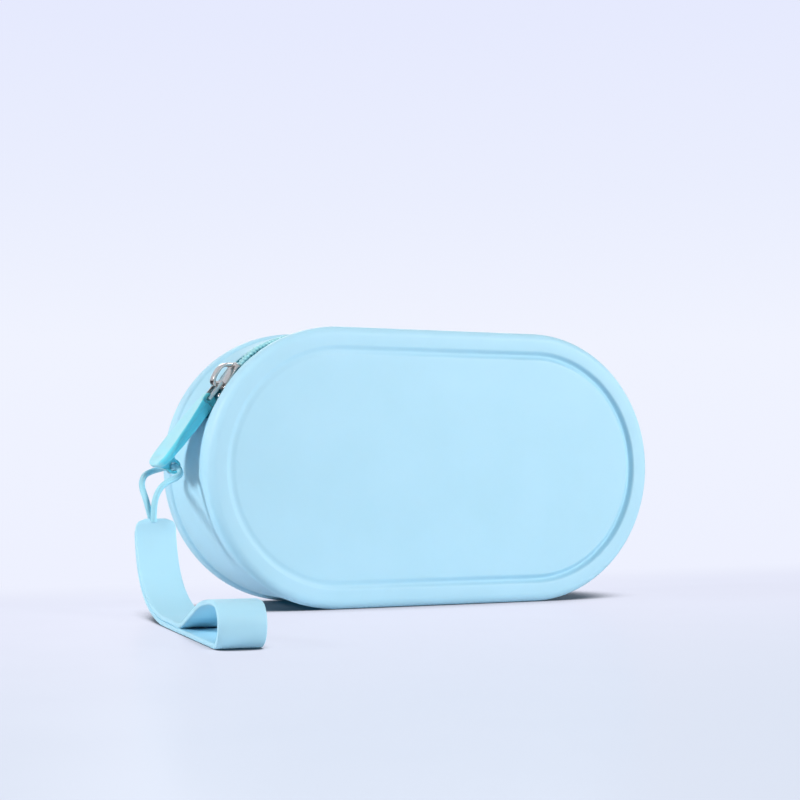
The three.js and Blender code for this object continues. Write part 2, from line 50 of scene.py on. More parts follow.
# Sizes in millimetres and angles in degrees, most of them as in the part's source
MM = 0.001
BOX_SHIFT = 5.0
HALF_STRAIGHT = 36.0
RADIUS = 45.0
FACE = 22.5
PANEL_FACE = 22.3
PANEL_CROWN = 0.25
PANEL_BACK = 20.0
PANEL_MIDDLE = 1.0 - RADIUS
GROOVE_AT = -7.6
GROOVE_HALF = 1.8
GROOVE_DEPTH = 0.6
GROOVE_SHARES = (0.3, 2.0)
RIM_ROUND = 3.0
RIM_BACK_ROUND = 2.0
WALL_EDGE = 15.5
ARC_STEPS = 56
STRAIGHT_STEPS = 14
RECESS = 1.0
WALL = 1.5
SLOT_HALF = 5.5
SLOT_ROUND = 0.4
WAIST = 1.2
PINCH = 3.4
ZIP_DIVE = 5.8
PINCH_RISE = (25, 60)
PINCH_FALL = (65, 145)
FOLD_SOFT = 4.0
ZIP_FLAT = 4.4
ZIP_END_ANGLE = 63
COIL_TOP = 0.6
COIL_FOOT = -1.2
TAPE_TOP = -1.5
TAPE_FOOT = -2.0
TAPE_EDGE = 1.0
TAPE_REACH = 5.4
TAPE_UNDER_WALL = 9.0
TAPE_WIDENS = (44, 52)
SHADE_LIP_DEPTH = -1.15
TAPE_OVERRUN = 4.0
COIL_WIDTH = 2.4
COIL_PITCH = 1.3
COIL_OVERLAP = 0.3
COIL_WIRE = 0.4
SLIDER_ANGLE = 46
SLIDER_LENGTH = 10.5
PARTING = 1.4
PARTING_RUN = 3.0
STITCH_AT = 2.95
STITCH_LENGTH = 1.7
STITCH_STEP = 2.3
PIVOT = (-69.282, 0.0, 72.06)
TAB_SLOPE = 51.2
TAB_TOP = 4.8
TAB_END = 34.2
TAB_THICKNESS = 3.4
TAB_END_SHARE = 0.62
LINK_HOLE = 6.6
LINK_HOLE_RADIUS = 0.66
EYELET_AT = 30.6
EYELET_BEHIND = 4.75
EYELET_RADIUS = 1.35
EYE_RADIUS = 2.4
EYE_WIDTH = 2.8
CORD_DIAMETER = 1.9
STRAP_WIDTH = 12.5
STRAP_LAYER = 1.5
STRAP_HEAD = (-93.7, -10.0, 27.8)
STRAP_HEADING = -97.3

TRACK_RADIUS = RADIUS + COIL_TOP
ZIP_END = HALF_STRAIGHT + TRACK_RADIUS * math.radians(ZIP_END_ANGLE)
SLIDER_AT = -(HALF_STRAIGHT + TRACK_RADIUS * math.radians(SLIDER_ANGLE))
COIL_START = SLIDER_AT - SLIDER_LENGTH / 2 + 0.2
COIL_END = ZIP_END - 0.6


# Geometry helpers

def place(x, y, z):
    return Vector(((x + BOX_SHIFT) * MM, y * MM, z * MM))


def clamp(value, low=0.0, high=1.0):
    return max(low, min(high, value))


def smoothstep(value, low, high):
    t = clamp((value - low) / (high - low))
    return t * t * (3 - 2 * t)


def mix(a, b, t):
    return a + (b - a) * t


def add_object(name, mesh):
    obj = bpy.data.objects.new(name, mesh)
    scene.collection.objects.link(obj)
    return obj


def add_mesh(name, points, faces, sharp=None):
    mesh = bpy.data.meshes.new(name)
    mesh.from_pydata([tuple(p) for p in points], [], faces)
    edit = bmesh.new()
    edit.from_mesh(mesh)
    bmesh.ops.recalc_face_normals(edit, faces=edit.faces)
    edit.to_mesh(mesh)
    edit.free()
    mesh.polygons.foreach_set("use_smooth", [True] * len(mesh.polygons))
    if sharp:
        mesh.set_sharp_from_angle(angle=math.radians(sharp))
    return add_object(name, mesh)


def loft(rings, start=0):
    """Faces between closed rings of equally many points, with a cap on each end."""
    count = len(rings[0])
    faces = []
    for r in range(len(rings) - 1):
        a = start + r * count
        b = a + count
        for i in range(count):
            j = (i + 1) % count
            faces.append((a + i, a + j, b + j, b + i))
    faces.append(tuple(start + i for i in reversed(range(count))))
    faces.append(tuple(start + (len(rings) - 1) * count + i for i in range(count)))
    return faces


def flatten(rings):
    return [point for ring in rings for point in ring]


def catmull(points, steps):
    """Centripetal Catmull-Rom curve through the points, with steps samples for each span."""
    pts = [Vector(p) for p in points]
    pts = [2 * pts[0] - pts[1]] + pts + [2 * pts[-1] - pts[-2]]
    curve = []
    for i in range(1, len(pts) - 2):
        p0, p1, p2, p3 = pts[i - 1:i + 3]
        t1 = math.sqrt((p1 - p0).length)
        t2 = t1 + math.sqrt((p2 - p1).length)
        t3 = t2 + math.sqrt((p3 - p2).length)
        for k in range(steps):
            t = mix(t1, t2, k / steps)
            a1 = p0.lerp(p1, t / t1)
            a2 = p1.lerp(p2, (t - t1) / (t2 - t1))
            a3 = p2.lerp(p3, (t - t2) / (t3 - t2))
            b1 = a1.lerp(a2, t / t2)
            b2 = a2.lerp(a3, (t - t1) / (t3 - t1))
            curve.append(b1.lerp(b2, (t - t1) / (t2 - t1)))
    curve.append(pts[-2].copy())
    return curve


def even_points(points, count):
    """The same line with its points spread evenly."""
    lengths = [0.0]
    for a, b in zip(points, points[1:]):
        lengths.append(lengths[-1] + (b - a).length)
    out = []
    k = 0
    for i in range(count + 1):
        want = lengths[-1] * i / count
        while k < len(points) - 2 and lengths[k + 1] < want:
            k += 1
        span = max(lengths[k + 1] - lengths[k], 1e-9)
        out.append(points[k].lerp(points[k + 1], clamp((want - lengths[k]) / span)))
    return out


def line_length(points):
    return sum((b - a).length for a, b in zip(points, points[1:]))


def direction_at(points, i):
    return (points[min(i + 1, len(points) - 1)] - points[max(i - 1, 0)]).normalized()


def tube_rings(points, radius, sides):
    """Rings of a round tube along the points, turned as little as possible from one to the next."""
    rings = []
    side = None
    for i, p in enumerate(points):
        along = direction_at(points, i)
        if side is None:
            side = along.cross(Vector((0.0, 0.0, 1.0))).normalized()
        side = (side - along * side.dot(along)).normalized()
        other = along.cross(side)
        ring = []
        for k in range(sides):
            angle = 2 * math.pi * k / sides
            ring.append(p + side * (radius * math.cos(angle)) + other * (radius * math.sin(angle)))
        rings.append(ring)
    return rings


def crease(y):
    """Depth with the fold in the middle of the wall rounded off."""
    y = abs(y)
    return y if y > FOLD_SOFT else y * y / (2 * FOLD_SOFT) + FOLD_SOFT / 2


def wall_pinch(degrees, y):
    """How far the soft side wall is drawn in: fully in the middle, fading towards the rims."""
    depth = mix(WAIST, PINCH, smoothstep(degrees, *PINCH_RISE)) * (1 - smoothstep(degrees, *PINCH_FALL))
    return depth * max(0.0, 1 - crease(y) / WALL_EDGE)


def zip_pinch(degrees, y):
    """The same for the zip, which dives in deeper and stays level across its coil."""
    depth = mix(WAIST, ZIP_DIVE, smoothstep(degrees, *PINCH_RISE))
    return depth * clamp((WALL_EDGE - abs(y)) / (WALL_EDGE - ZIP_FLAT))


def stations():
    """Places round the pouch as (middle x, side, degrees from the top)."""
    out = []
    for i in range(STRAIGHT_STEPS):
        out.append((mix(-HALF_STRAIGHT, HALF_STRAIGHT, i / STRAIGHT_STEPS), 1, 0.0))
    for i in range(ARC_STEPS):
        out.append((HALF_STRAIGHT, 1, 180.0 * i / ARC_STEPS))
    for i in range(STRAIGHT_STEPS):
        out.append((mix(HALF_STRAIGHT, -HALF_STRAIGHT, i / STRAIGHT_STEPS), 1, 180.0))
    for i in range(ARC_STEPS):
        out.append((-HALF_STRAIGHT, -1, 180.0 - 180.0 * i / ARC_STEPS))
    return out


def around(station, offset, y, pinch=wall_pinch):
    """Point at a station, set off from the outline there and at a depth."""
    middle, side, degrees = station
    r = RADIUS + offset - pinch(degrees, y)
    angle = math.radians(degrees)
    return place(middle + side * r * math.sin(angle), y, RADIUS + r * math.cos(angle))


def track_degrees(s):
    return math.degrees(max(0.0, abs(s) - HALF_STRAIGHT) / TRACK_RADIUS)


def on_track(s, offset, y):
    """Along the zip: s runs from the top middle to the right, negative to the left."""
    side = 1 if s > 0 else -1
    middle = clamp(s, -HALF_STRAIGHT, HALF_STRAIGHT)
    return around((middle, side, track_degrees(s)), offset, y, zip_pinch)


# Materials

def linear(*rgb):
    """Linear colour from sRGB values up to 255."""
    out = []
    for value in rgb:
        c = value / 255
        out.append(c / 12.92 if c <= 0.04045 else ((c + 0.055) / 1.055) ** 2.4)
    return (*out, 1.0)


WHITE = linear(255, 255, 255)
# Painted shade in grooves and creases: its pale tint, how far the occlusion looks and the occlusion span it
# is spread over.
PAINTED_HOLLOW_SHADE = linear(232, 243, 246)
PAINTED_SHADE_REACH = 0.004
PAINTED_SHADE_SPAN = (0.7, 1.0)
NOISE_SPAN = (0.3, 0.7)
WAVE_PERIOD = 0.314


def node_material(name):
    material = bpy.data.materials.new(name)
    material.use_nodes = True
    nodes = material.node_tree.nodes
    nodes.clear()
    output = nodes.new("ShaderNodeOutputMaterial")
    shader = nodes.new("ShaderNodeBsdfPrincipled")
    material.node_tree.links.new(shader.outputs["BSDF"], output.inputs["Surface"])
    return material, nodes, material.node_tree.links, shader


def noise(nodes, links, coords, scale, detail=3.0, stretch=None):
    texture = nodes.new("ShaderNodeTexNoise")
    texture.inputs["Scale"].default_value = scale
    texture.inputs["Detail"].default_value = detail
    source = coords
    if stretch:
        mapping = nodes.new("ShaderNodeMapping")
        mapping.inputs["Scale"].default_value = stretch
        links.new(coords, mapping.inputs["Vector"])
        source = mapping.outputs["Vector"]
    links.new(source, texture.inputs["Vector"])
    return texture.outputs["Fac"]


def map_range(nodes, links, value, span, low=0.0, high=1.0, kind="LINEAR"):
    node = nodes.new("ShaderNodeMapRange")
    node.interpolation_type = kind
    for socket, number in zip(("From Min", "From Max", "To Min", "To Max"), (*span, low, high)):
        node.inputs[socket].default_value = number
    links.new(value, node.inputs["Value"])
    return node.outputs["Result"]


def vary(nodes, links, value, low, high):
    """Spreads a noise, which stays about its middle, from low to high."""
    return map_range(nodes, links, value, NOISE_SPAN, low, high)


def feed(links, target, source):
    """Links the output of another node, or sets a plain value."""
    if isinstance(source, bpy.types.NodeSocket):
        links.new(source, target)
    else:
        target.default_value = source


def two_tone(nodes, links, value, dark, light, kind="MIX"):
    blend = nodes.new("ShaderNodeMix")
    blend.data_type = "RGBA"
    blend.blend_type = kind
    feed(links, blend.inputs[0], value)
    feed(links, blend.inputs[6], dark)
    feed(links, blend.inputs[7], light)
    return blend.outputs[2]


def crossed(nodes, links, waves, operation):
    """Two sets of bands as one height."""
    both = nodes.new("ShaderNodeMath")
    both.operation = operation
    for wave, target in zip(waves, both.inputs):
        links.new(wave.outputs["Fac"], target)
    return both.outputs["Value"]


def relief(nodes, links, value, depth, strength):
    bump = nodes.new("ShaderNodeBump")
    bump.inputs["Strength"].default_value = strength
    bump.inputs["Distance"].default_value = depth
    links.new(value, bump.inputs["Height"])
    return bump.outputs["Normal"]


def silicone(name, dark, light, rough=0.5, glow=0.12, deep=1.2, painted_side_shade=None):
    """Matte rubber with painted shade in grooves and creases. Faces to the front and rear take a darker
    tone, painted shade on the sides.
    """
    material, nodes, links, shader = node_material(name)
    coords = nodes.new("ShaderNodeTexCoord")
    cloudy = noise(nodes, links, coords.outputs["Object"], 45.0, 4.0)
    grain = noise(nodes, links, coords.outputs["Object"], 2600.0, 2.0)
    colour = two_tone(nodes, links, vary(nodes, links, cloudy, 0.0, 1.0), dark, light)
    # Faces that point to the front or rear blend to a darker, more saturated tone: painted shade on the
    # sides.
    if painted_side_shade:
        facing = nodes.new("ShaderNodeSeparateXYZ")
        links.new(coords.outputs["Normal"], facing.inputs["Vector"])
        sideways = nodes.new("ShaderNodeMath")
        sideways.operation = "ABSOLUTE"
        links.new(facing.outputs["Y"], sideways.inputs[0])
        share = vary(nodes, links, sideways.outputs["Value"], 0.0, 1.0)
        colour = two_tone(nodes, links, share, colour, painted_side_shade)
    # Ambient occlusion darkens the base colour with a pale tint: painted shade in grooves, creases and
    # recesses.
    painted_shade_ao = nodes.new("ShaderNodeAmbientOcclusion")
    painted_shade_ao.samples = 8
    painted_shade_ao.only_local = True
    painted_shade_ao.inputs["Distance"].default_value = PAINTED_SHADE_REACH
    open_share = map_range(nodes, links, painted_shade_ao.outputs["AO"], PAINTED_SHADE_SPAN)
    shade = two_tone(nodes, links, open_share, PAINTED_HOLLOW_SHADE, WHITE)
    links.new(two_tone(nodes, links, 1.0, colour, shade, "MULTIPLY"), shader.inputs["Base Color"])
    links.new(vary(nodes, links, grain, rough - 0.06, rough + 0.06), shader.inputs["Roughness"])
    links.new(relief(nodes, links, grain, 0.00002, 0.25), shader.inputs["Normal"])
    shader.inputs["Subsurface Weight"].default_value = glow
    shader.inputs["Subsurface Radius"].default_value = (0.6, 0.9, 1.0)
    shader.inputs["Subsurface Scale"].default_value = deep * MM
    shader.inputs["IOR"].default_value = 1.41
    return material


def woven(name, dark, light, pitch):
    """Cloth with threads both ways, for the zip tape and its stitches."""
    material, nodes, links, shader = node_material(name)
    coords = nodes.new("ShaderNodeTexCoord").outputs["Object"]
    waves = []
    for direction in ("X", "Y"):
        wave = nodes.new("ShaderNodeTexWave")
        wave.bands_direction = direction
        wave.inputs["Scale"].default_value = WAVE_PERIOD / (pitch * MM)
        wave.inputs["Distortion"].default_value = 0.6
        links.new(coords, wave.inputs["Vector"])
        waves.append(wave)
    height = crossed(nodes, links, waves, "MULTIPLY")
    links.new(two_tone(nodes, links, height, dark, light), shader.inputs["Base Color"])
    links.new(relief(nodes, links, height, 0.0001, 0.5), shader.inputs["Normal"])
    fuzz = noise(nodes, links, coords, 1800.0)
    links.new(vary(nodes, links, fuzz, 0.77, 0.93), shader.inputs["Roughness"])
    return material


def braided(name, dark, light):
    """Fine diagonal braid from the tube's own length and turn."""
    material, nodes, links, shader = node_material(name)
    coords = nodes.new("ShaderNodeUVMap").outputs["UV"]
    waves = []
    for slant in (1.0, -1.0):
        mapping = nodes.new("ShaderNodeMapping")
        mapping.inputs["Rotation"].default_value = (0.0, 0.0, slant * math.radians(45))
        links.new(coords, mapping.inputs["Vector"])
        wave = nodes.new("ShaderNodeTexWave")
        wave.inputs["Scale"].default_value = 0.55
        links.new(mapping.outputs["Vector"], wave.inputs["Vector"])
        waves.append(wave)
    height = crossed(nodes, links, waves, "MAXIMUM")
    links.new(two_tone(nodes, links, height, dark, light), shader.inputs["Base Color"])
    links.new(relief(nodes, links, height, 0.00006, 0.4), shader.inputs["Normal"])
    fuzz = noise(nodes, links, coords, 3.0)
    links.new(vary(nodes, links, fuzz, 0.5, 0.7), shader.inputs["Roughness"])
    return material


def nickel_plate(name):
    material, nodes, links, shader = node_material(name)
    coords = nodes.new("ShaderNodeTexCoord").outputs["Object"]
    smudge = noise(nodes, links, coords, 260.0, 4.0)
    brushed = noise(nodes, links, coords, 900.0, 2.0, (1.0, 0.15, 1.0))
    tone = two_tone(nodes, links, smudge, linear(176, 172, 170), linear(216, 212, 208))
    links.new(tone, shader.inputs["Base Color"])
    links.new(vary(nodes, links, smudge, 0.14, 0.27), shader.inputs["Roughness"])
    links.new(relief(nodes, links, brushed, 0.00002, 0.15), shader.inputs["Normal"])
    shader.inputs["Metallic"].default_value = 1.0
    return material


SILICONE = silicone("silicone_blue", linear(180, 225, 243), linear(184, 228, 247))
# The tab's front and rear sides take a darker, more saturated tone, painted shade.
TAB_SILICONE = silicone(
    "silicone_aqua", linear(168, 230, 244), linear(174, 234, 248),
    rough=0.4, glow=0.5, deep=3.0, painted_side_shade=linear(116, 226, 244),
)
STRAP_SILICONE = silicone("silicone_strap", linear(178, 225, 243), linear(182, 229, 247), rough=0.48)
TAPE = woven("zip_tape_weave", linear(84, 168, 186), linear(120, 200, 216), pitch=0.5)
NYLON = silicone("coil_nylon", linear(160, 226, 236), linear(182, 240, 246), rough=0.3, glow=0.2)
THREAD = woven("stitch_thread", linear(120, 186, 206), linear(152, 212, 228), pitch=0.3)
NICKEL = nickel_plate("nickel_plate")
CORD = braided("cord_braid", linear(132, 200, 220), linear(172, 228, 243))


def dress(obj, material, slot, body, *nodes):
    obj.data.materials.clear()
    obj.data.materials.append(material)
    if body:
        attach(obj, body)
    if nodes:
        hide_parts(*nodes)


# Camera, as fitted to the outline of the pouch

CAMERA_AT = (-262.3, -519.27, 45.59)
CAMERA_RIGHT = Vector((0.89558, -0.44491, 0.0))
CAMERA_UP = Vector((-0.01693, -0.03409, 0.99928))
CAMERA_BACK = CAMERA_RIGHT.cross(CAMERA_UP)
CAMERA_LENS = 77.27
SENSOR_WIDTH = 36.0

camera_data = bpy.data.cameras.new("camera")
camera_data.lens = CAMERA_LENS
camera_data.sensor_width = SENSOR_WIDTH
camera_data.clip_start = 0.01
camera = add_object("camera", camera_data)
turn = Matrix((CAMERA_RIGHT, CAMERA_UP, CAMERA_BACK)).transposed()
camera.matrix_world = Matrix.Translation(place(*CAMERA_AT)) @ turn.to_4x4()
scene.camera = camera


# Lanyard cord, along the route of the part's source

SLOPE = math.radians(TAB_SLOPE)
EYELET_X = PIVOT[0] - EYELET_AT * math.cos(SLOPE) + EYELET_BEHIND * math.sin(SLOPE)
EYELET_Z = PIVOT[2] - EYELET_AT * math.sin(SLOPE) - EYELET_BEHIND * math.cos(SLOPE)
CORD_ROUTE = [
    (-94.5, -8.9, 28.2),
    (-95.0, -8.9, 30.4),
    (-95.7, -8.8, 33.0),
    (-96.2, -7.9, 35.6),
    (-96.3, -5.6, 38.0),
    (-95.5, -2.2, 40.0),
    (-93.9, 1.5, 41.5),
    (-92.1, 4.8, 42.6),
    (-90.6, 6.3, 43.2),
    (-88.6, 6.9, 43.9),
    (-86.6, 6.3, 44.5),
    (-85.2, 4.8, 45.0),
    (EYELET_X, 2.6, EYELET_Z),
    (EYELET_X, 0.0, EYELET_Z),
    (EYELET_X + 0.1, -3.2, EYELET_Z - 0.1),
    (-84.5, -6.0, 44.2),
    (-85.1, -8.4, 42.9),
    (-87.0, -9.9, 41.7),
    (-89.5, -10.6, 40.7),
    (-91.7, -11.0, 39.3),
    (-93.3, -11.1, 37.1),
    (-94.2, -11.1, 34.4),
    (-94.5, -11.1, 31.4),
    (-94.6, -11.1, 28.2),
]
CORD_SIDES = 16
CORD_SPANS = 260
BRAID_ALONG = 2.0
BRAID_AROUND = 6.0


def make_cord():
    route = [place(*p) for p in CORD_ROUTE]
    path = even_points(catmull(route, 12), CORD_SPANS)
    rings = tube_rings(path, CORD_DIAMETER / 2 * MM, CORD_SIDES)
    obj = add_mesh("lanyard_cord_braid", flatten(rings), loft(rings), 50)
    length = line_length(path)
    layer = obj.data.uv_layers.new(name="UVMap")
    for polygon in obj.data.polygons:
        turns = [v % CORD_SIDES for v in polygon.vertices]
        wraps = max(turns) - min(turns) > CORD_SIDES // 2
        for loop, v in zip(polygon.loop_indices, polygon.vertices):
            k = v % CORD_SIDES
            around_cord = (k + CORD_SIDES if wraps and k == 0 else k) / CORD_SIDES
            along = (v // CORD_SIDES) / CORD_SPANS * length / (CORD_DIAMETER * MM)
            layer.data[loop].uv = (along * BRAID_ALONG, around_cord * BRAID_AROUND)
    dress(obj, CORD, "cord", "lanyard", "lanyard_cord")
    return obj, path, length


cord, cord_path, cord_length = make_cord()


# Half shells

PANEL_SHARES = (0.75, 0.5, 0.25, 0.1, 0.03)
GROOVE_STEPS = 22
INSIDE_ROUND = 1.5
INSIDE_BEVEL = 0.2
EDGE_FADE = 3


def arc(middle, radius, start, end, steps):
    out = []
    for i in range(steps + 1):
        angle = math.radians(mix(start, end, i / steps))
        out.append((middle[0] + radius * math.cos(angle), middle[1] + radius * math.sin(angle)))
    return out


def shell_profile():
    """Outside of a half shell as pairs of offset from the outline and depth, from the panel to the slot."""
    profile = [(PANEL_MIDDLE, PANEL_FACE + PANEL_CROWN)]
    for share in PANEL_SHARES:
        inset = mix(GROOVE_AT - GROOVE_HALF, PANEL_MIDDLE, share)
        profile.append((inset, PANEL_FACE + PANEL_CROWN * smoothstep(share, 0.0, 1.0)))
    for i in range(GROOVE_STEPS + 1):
        u = 2 * i / GROOVE_STEPS - 1
        lift = (FACE - PANEL_FACE) * smoothstep(u, 0.0, 1.0)
        profile.append((GROOVE_AT + GROOVE_HALF * u, PANEL_FACE + lift))
    profile.append((-1.3 * RIM_ROUND, FACE))
    profile += arc((-RIM_ROUND, FACE - RIM_ROUND), RIM_ROUND, 90, 0, 12)
    profile.append((0.0, WALL_EDGE + RIM_BACK_ROUND + 0.5))
    profile += arc((-RIM_BACK_ROUND, WALL_EDGE + RIM_BACK_ROUND - 0.3), RIM_BACK_ROUND, 0, -57, 8)
    profile += [(-RECESS, WALL_EDGE - 0.15), (-RECESS, WALL_EDGE - 0.6)]
    for i in range(1, 8):
        profile.append((-RECESS, mix(WALL_EDGE - 0.6, SLOT_HALF + 0.8, i / 7)))
    return profile


def groove(station, offset):
    """Depth of the panel's groove, shallow at the slider's end and deep at the other."""
    u = clamp((offset - GROOVE_AT) / GROOVE_HALF, -1.0, 1.0)
    middle, side, degrees = station
    x = middle + side * RADIUS * math.sin(math.radians(degrees))
    share = mix(*GROOVE_SHARES, smoothstep(x, -HALF_STRAIGHT - RADIUS, HALF_STRAIGHT + RADIUS))
    return GROOVE_DEPTH * share * 0.5 * (1 + math.cos(math.pi * u))


def make_shell(name, side, body, node):
    ring = stations()
    outside = shell_profile()
    rings = [[around(st, offset, side * (y - groove(st, offset))) for st in ring] for offset, y in outside]

    # Edge of the slot: rounded beside the zip, square where the gusset joins it
    def edge_ring(lift, inset):
        out = []
        for st in ring:
            rounded = 1 - smoothstep(st[2], ZIP_END_ANGLE, ZIP_END_ANGLE + EDGE_FADE)
            y = SLOT_HALF + inset * rounded
            out.append(around(st, -RECESS - lift * rounded, side * y))
        return out

    for lift, inset in ((0.0, SLOT_ROUND), (0.12, 0.12), (SLOT_ROUND, 0.0)):
        rings.append(edge_ring(lift, inset))
    lining = -RECESS - WALL
    inside = [(lining + INSIDE_BEVEL, SLOT_HALF), (lining, SLOT_HALF + INSIDE_BEVEL), (lining, WALL_EDGE)]
    inside += arc((lining - INSIDE_ROUND, PANEL_BACK - INSIDE_ROUND), INSIDE_ROUND, 0, 90, 5)
    inside.append((PANEL_MIDDLE, PANEL_BACK))
    rings += [[around(st, offset, side * y) for st in ring] for offset, y in inside]
    obj = add_mesh(name, flatten(rings), loft(rings), 50)
    dress(obj, SILICONE, "silicone", body, node)


make_shell("front_shell_skin", -1, "front_half", "front_shell")
make_shell("rear_shell_skin", 1, "rear_half", "rear_shell")


# Gusset: meets both shells edge to edge and stretches between them

GUSSET_FROM = ZIP_END_ANGLE + 1.3
GUSSET_STEPS = 22
GUSSET_END_DROP = 0.25


def make_gusset():
    ring = [st for st in stations() if st[2] >= GUSSET_FROM]
    first = next(i for i, st in enumerate(ring) if st[1] == 1 and st[2] < 180 and st[0] > 0)
    ring = ring[first:] + ring[:first]
    across = [mix(-SLOT_HALF, SLOT_HALF, i / GUSSET_STEPS) for i in range(GUSSET_STEPS + 1)]
    rings = []
    for i, st in enumerate(ring):
        drop = GUSSET_END_DROP if i in (0, len(ring) - 1) else 0.0
        outer = [around(st, -RECESS - drop, y) for y in across]
        inner = [around(st, -RECESS - WALL, y) for y in reversed(across)]
        rings.append(outer + inner)
    obj = add_mesh("gusset_skin", flatten(rings), loft(rings), 50)
    dress(obj, SILICONE, "silicone", None, "gusset")
    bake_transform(obj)


make_gusset()


# Zip

TURN_STEPS = 16
FILLER_SIDES = 10
STITCH_SIDES = 8
STITCH_HALF_WIDTH = 0.24
STITCH_HALF_HEIGHT = 0.22
STITCH_ARCH = 0.18
STITCH_SEAT = 0.1


def parting(s):
    """How far a coil row stands off the middle, where the slider parts the two."""
    return PARTING * clamp((SLIDER_AT + 1 - s) / PARTING_RUN)


def track_stops(start, end, step):
    count = max(2, round((end - start) / step))
    return [mix(start, end, i / count) for i in range(count + 1)]


def make_tape(side, place_name, body):
    """Woven tape beside the coil, its dark edge turned up against the side of the slot as painted shade in
    the slot beside the coil.
    """
    reach = ZIP_END + TAPE_OVERRUN
    rings = []
    for s in track_stops(-reach, reach, 1.6):
        degrees = track_degrees(s)
        hidden = smoothstep(degrees, *TAPE_WIDENS)
        edge = mix(TAPE_REACH, TAPE_UNDER_WALL, hidden)
        wall_above = zip_pinch(degrees, SLOT_HALF) - wall_pinch(degrees, SLOT_HALF)
        rise = mix(SHADE_LIP_DEPTH + wall_above, TAPE_TOP + 0.05, hidden)
        across = [TAPE_EDGE, 2.0, 3.2, ZIP_FLAT] + [mix(ZIP_FLAT, edge - 0.5, i / 3) for i in range(1, 4)]
        above = [on_track(s, TAPE_TOP, side * y) for y in across]
        above.append(on_track(s, mix(TAPE_TOP, rise, 0.4), side * (edge - 0.34)))
        # The dark tape edge turned up the slot's side is a sheet that paints the shade in the slot beside
        # the coil.
        turned = [on_track(s, rise, side * (edge - 0.3)), on_track(s, rise, side * edge)]
        below = [on_track(s, TAPE_FOOT, side * y) for y in [edge] + across[::-1]]
        rings.append(above + turned + below)
    obj = add_mesh(f"zipper_tape_{place_name}_weave", flatten(rings), loft(rings), 50)
    dress(obj, TAPE, "zip_tape", body, f"zipper_tape_{place_name}")


def make_coil(side, place_name, body):
    """One row of the coil: a flattened spiral of nylon wire round a filler cord."""
    turns = math.floor((COIL_END - COIL_START) / COIL_PITCH)
    middle = (COIL_TOP + COIL_FOOT) / 2
    rise = (COIL_TOP - COIL_FOOT) / 2 - COIL_WIRE
    reach = (COIL_WIDTH + COIL_OVERLAP) / 2 - COIL_WIRE / 2

    def row_middle(s):
        return COIL_WIDTH / 2 - COIL_OVERLAP / 2 + parting(s)

    path = []
    for i in range(turns * TURN_STEPS + 1):
        t = 2 * math.pi * i / TURN_STEPS + (math.pi if side > 0 else 0.0)
        s = COIL_START + COIL_PITCH * i / TURN_STEPS
        path.append(on_track(s, middle + rise * math.sin(t), side * (row_middle(s) - reach * math.cos(t))))
    rings = tube_rings(path, COIL_WIRE * MM, 6)
    points = flatten(rings)
    faces = loft(rings)
    filler = []
    for s in track_stops(COIL_START + 0.3, COIL_END - 0.3, 1.5):
        ring = []
        for k in range(FILLER_SIDES):
            angle = 2 * math.pi * k / FILLER_SIDES
            across = side * (row_middle(s) + 0.85 * reach * math.cos(angle))
            ring.append(on_track(s, middle + 1.25 * rise * math.sin(angle), across))
        filler.append(ring)
    faces += loft(filler, start=len(points))
    points += flatten(filler)
    obj = add_mesh(f"zipper_coil_{place_name}_wire", points, faces, 60)
    dress(obj, NYLON, "zip_coil", body, f"zipper_coil_{place_name}")


def make_stitches(side, place_name, body):
    """Row of single stitches that swell in the middle, beside the coil on the tape."""
    points = []
    faces = []
    s = COIL_START + SLIDER_LENGTH
    while s + STITCH_LENGTH < COIL_END:
        rings = []
        for i in range(9):
            u = 2 * i / 8 - 1
            swell = math.sqrt(max(0.05, 1 - u * u))
            ring = []
            for k in range(STITCH_SIDES):
                angle = 2 * math.pi * k / STITCH_SIDES
                y = side * (STITCH_AT + STITCH_HALF_WIDTH * swell * math.cos(angle))
                lift = STITCH_HALF_HEIGHT * swell * math.sin(angle) + STITCH_ARCH * swell
                ring.append(on_track(s + STITCH_LENGTH * (u + 1) / 2, TAPE_TOP + STITCH_SEAT + lift, y))
            rings.append(ring)
        faces += loft(rings, start=len(points))
        points += flatten(rings)
        s += STITCH_STEP
    obj = add_mesh(f"coil_stitching_{place_name}_thread", points, faces, 60)
    dress(obj, THREAD, "thread", body, f"coil_stitching_{place_name}")


for row_side, row_name, row_body in ((-1, "front", "front_half"), (1, "rear", "rear_half")):
    make_tape(row_side, row_name, row_body)
    make_coil(row_side, row_name, row_body)
    make_stitches(row_side, row_name, row_body)


# Metal pieces: the CAD forms with their edges rounded

def rounded_copy(node, name, width, segments, body):
    edit = bmesh.new()
    edit.from_mesh(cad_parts[node].data)
    bmesh.ops.remove_doubles(edit, verts=edit.verts, dist=1e-6)
    bmesh.ops.dissolve_limit(edit, angle_limit=math.radians(1), verts=edit.verts, edges=edit.edges)
    corners = [e for e in edit.edges if e.is_manifold and e.calc_face_angle(0.0) > math.radians(25)]
    bmesh.ops.bevel(
        edit, geom=corners, offset=width * MM, offset_type="OFFSET", segments=segments,
        profile=0.5, affect="EDGES", clamp_overlap=True,
    )
    bmesh.ops.recalc_face_normals(edit, faces=edit.faces)
    mesh = bpy.data.meshes.new(name)
    edit.to_mesh(mesh)
    edit.free()
    mesh.polygons.foreach_set("use_smooth", [True] * len(mesh.polygons))
    mesh.set_sharp_from_angle(angle=math.radians(40))
    dress(add_object(name, mesh), NICKEL, "nickel", body, node)


rounded_copy("slider_body", "slider_body_cast", 0.22, 3, "slider")
rounded_copy("slider_crown", "slider_crown_cast", 0.35, 4, "slider")
rounded_copy("pull_link", "pull_link_cast", 0.3, 3, "pull")
rounded_copy("top_stop_front", "top_stop_front_clip", 0.3, 3, "front_half")
rounded_copy("top_stop_rear", "top_stop_rear_clip", 0.3, 3, "rear_half")
rounded_copy("bottom_stop", "bottom_stop_clip", 0.25, 3, "rear_half")


# Pull tab: a moulded bar that widens into a paddle, with a parting line round its edge

